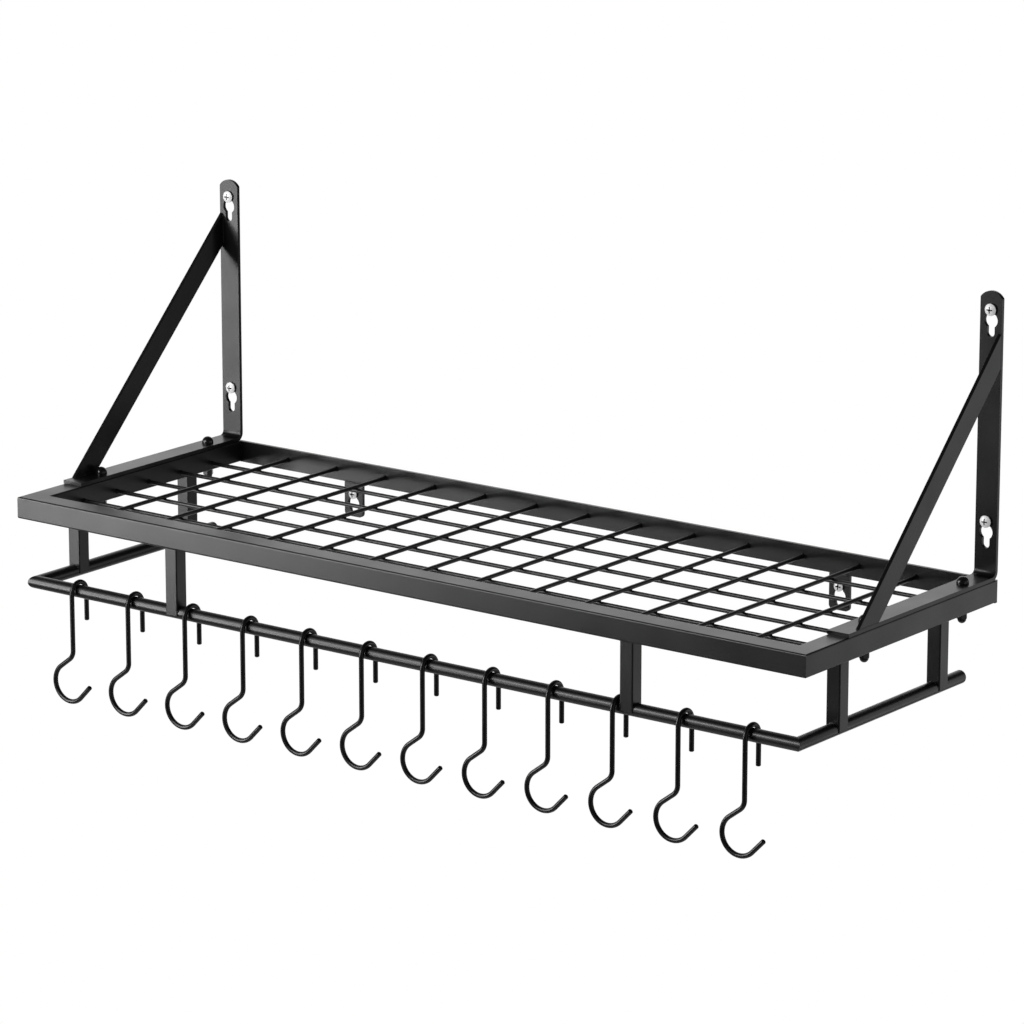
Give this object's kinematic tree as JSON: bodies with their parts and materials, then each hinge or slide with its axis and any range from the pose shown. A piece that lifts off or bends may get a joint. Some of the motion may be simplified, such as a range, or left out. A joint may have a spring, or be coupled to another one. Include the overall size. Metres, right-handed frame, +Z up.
{
  "type": "wall mounted pot rack",
  "caption": "Wall mounted pot rack: a framed wire shelf on braced keyhole brackets, with a round hook rail on square posts below it and a row of pot hooks that swing on the rail.",
  "frame": {"origin": "middle of the back bar's rear face, on the wall", "axes": "+X along the wall, -Y into the room, +Z up"},
  "size_m": [0.8, 0.2735, 0.404],
  "materials": {
    "frame_coat": "satin black powder coat",
    "wire_coat": "satin black powder coat",
    "bracket_coat": "satin black powder coat",
    "rail_coat": "satin black powder coat",
    "hook_coat": "semi-gloss black coat",
    "bolt_coat": "gloss black",
    "screw_plating": "bright zinc plate"
  },
  "bodies": {
    "rack": {"front_rail": "frame_coat", "left_side_rail": "frame_coat", "right_side_rail": "frame_coat", "back_bar": "frame_coat", "left_wall_tab": "frame_coat", "right_wall_tab": "frame_coat", "cross_wire_1": "wire_coat", "cross_wire_2": "wire_coat", "cross_wire_3": "wire_coat", "cross_wire_4": "wire_coat", "cross_wire_5": "wire_coat", "cross_wire_6": "wire_coat", "cross_wire_7": "wire_coat", "cross_wire_8": "wire_coat", "cross_wire_9": "wire_coat", "cross_wire_10": "wire_coat", "cross_wire_11": "wire_coat", "cross_wire_12": "wire_coat", "cross_wire_13": "wire_coat", "long_wire_1": "wire_coat", "long_wire_2": "wire_coat", "long_wire_3": "wire_coat", "long_wire_4": "wire_coat", "long_wire_5": "wire_coat", "left_bracket": "bracket_coat", "right_bracket": "bracket_coat", "left_brace": "bracket_coat", "right_brace": "bracket_coat", "wall_screws": "screw_plating", "frame_bolts": "bolt_coat", "cap_nuts": "bolt_coat", "left_front_post": "rail_coat", "right_front_post": "rail_coat", "left_side_front_post": "rail_coat", "left_side_rear_post": "rail_coat", "right_side_front_post": "rail_coat", "right_side_rear_post": "rail_coat", "front_tube": "rail_coat", "left_side_tube": "rail_coat", "right_side_tube": "rail_coat", "left_tube_plug": "rail_coat", "right_tube_plug": "rail_coat"},
    "hook_1_body": {"hook_1": "hook_coat"},
    "hook_2_body": {"hook_2": "hook_coat"},
    "hook_3_body": {"hook_3": "hook_coat"},
    "hook_4_body": {"hook_4": "hook_coat"},
    "hook_5_body": {"hook_5": "hook_coat"},
    "hook_6_body": {"hook_6": "hook_coat"},
    "hook_7_body": {"hook_7": "hook_coat"},
    "hook_8_body": {"hook_8": "hook_coat"},
    "hook_9_body": {"hook_9": "hook_coat"},
    "hook_10_body": {"hook_10": "hook_coat"},
    "hook_11_body": {"hook_11": "hook_coat"},
    "hook_12_body": {"hook_12": "hook_coat"}
  },
  "joints": [
    {"name": "hook_1_swing", "type": "hinge", "parent": "rack", "child": "hook_1_body", "pos_m": [-0.34, -0.2624, -0.06485], "axis": [1, 0, 0], "range_deg": [-40, 40]},
    {"name": "hook_2_swing", "type": "hinge", "parent": "rack", "child": "hook_2_body", "pos_m": [-0.27764, -0.2624, -0.06485], "axis": [1, 0, 0], "range_deg": [-40, 40]},
    {"name": "hook_3_swing", "type": "hinge", "parent": "rack", "child": "hook_3_body", "pos_m": [-0.21527, -0.2624, -0.06485], "axis": [1, 0, 0], "range_deg": [-40, 40]},
    {"name": "hook_4_swing", "type": "hinge", "parent": "rack", "child": "hook_4_body", "pos_m": [-0.15291, -0.2624, -0.06485], "axis": [1, 0, 0], "range_deg": [-40, 40]},
    {"name": "hook_5_swing", "type": "hinge", "parent": "rack", "child": "hook_5_body", "pos_m": [-0.09055, -0.2624, -0.06485], "axis": [1, 0, 0], "range_deg": [-40, 40]},
    {"name": "hook_6_swing", "type": "hinge", "parent": "rack", "child": "hook_6_body", "pos_m": [-0.02818, -0.2624, -0.06485], "axis": [1, 0, 0], "range_deg": [-40, 40]},
    {"name": "hook_7_swing", "type": "hinge", "parent": "rack", "child": "hook_7_body", "pos_m": [0.03418, -0.2624, -0.06485], "axis": [1, 0, 0], "range_deg": [-40, 40]},
    {"name": "hook_8_swing", "type": "hinge", "parent": "rack", "child": "hook_8_body", "pos_m": [0.09655, -0.2624, -0.06485], "axis": [1, 0, 0], "range_deg": [-40, 40]},
    {"name": "hook_9_swing", "type": "hinge", "parent": "rack", "child": "hook_9_body", "pos_m": [0.15891, -0.2624, -0.06485], "axis": [1, 0, 0], "range_deg": [-40, 40]},
    {"name": "hook_10_swing", "type": "hinge", "parent": "rack", "child": "hook_10_body", "pos_m": [0.22127, -0.2624, -0.06485], "axis": [1, 0, 0], "range_deg": [-40, 40]},
    {"name": "hook_11_swing", "type": "hinge", "parent": "rack", "child": "hook_11_body", "pos_m": [0.28364, -0.2624, -0.06485], "axis": [1, 0, 0], "range_deg": [-40, 40]},
    {"name": "hook_12_swing", "type": "hinge", "parent": "rack", "child": "hook_12_body", "pos_m": [0.346, -0.2624, -0.06485], "axis": [1, 0, 0], "range_deg": [-40, 40]}
  ]
}
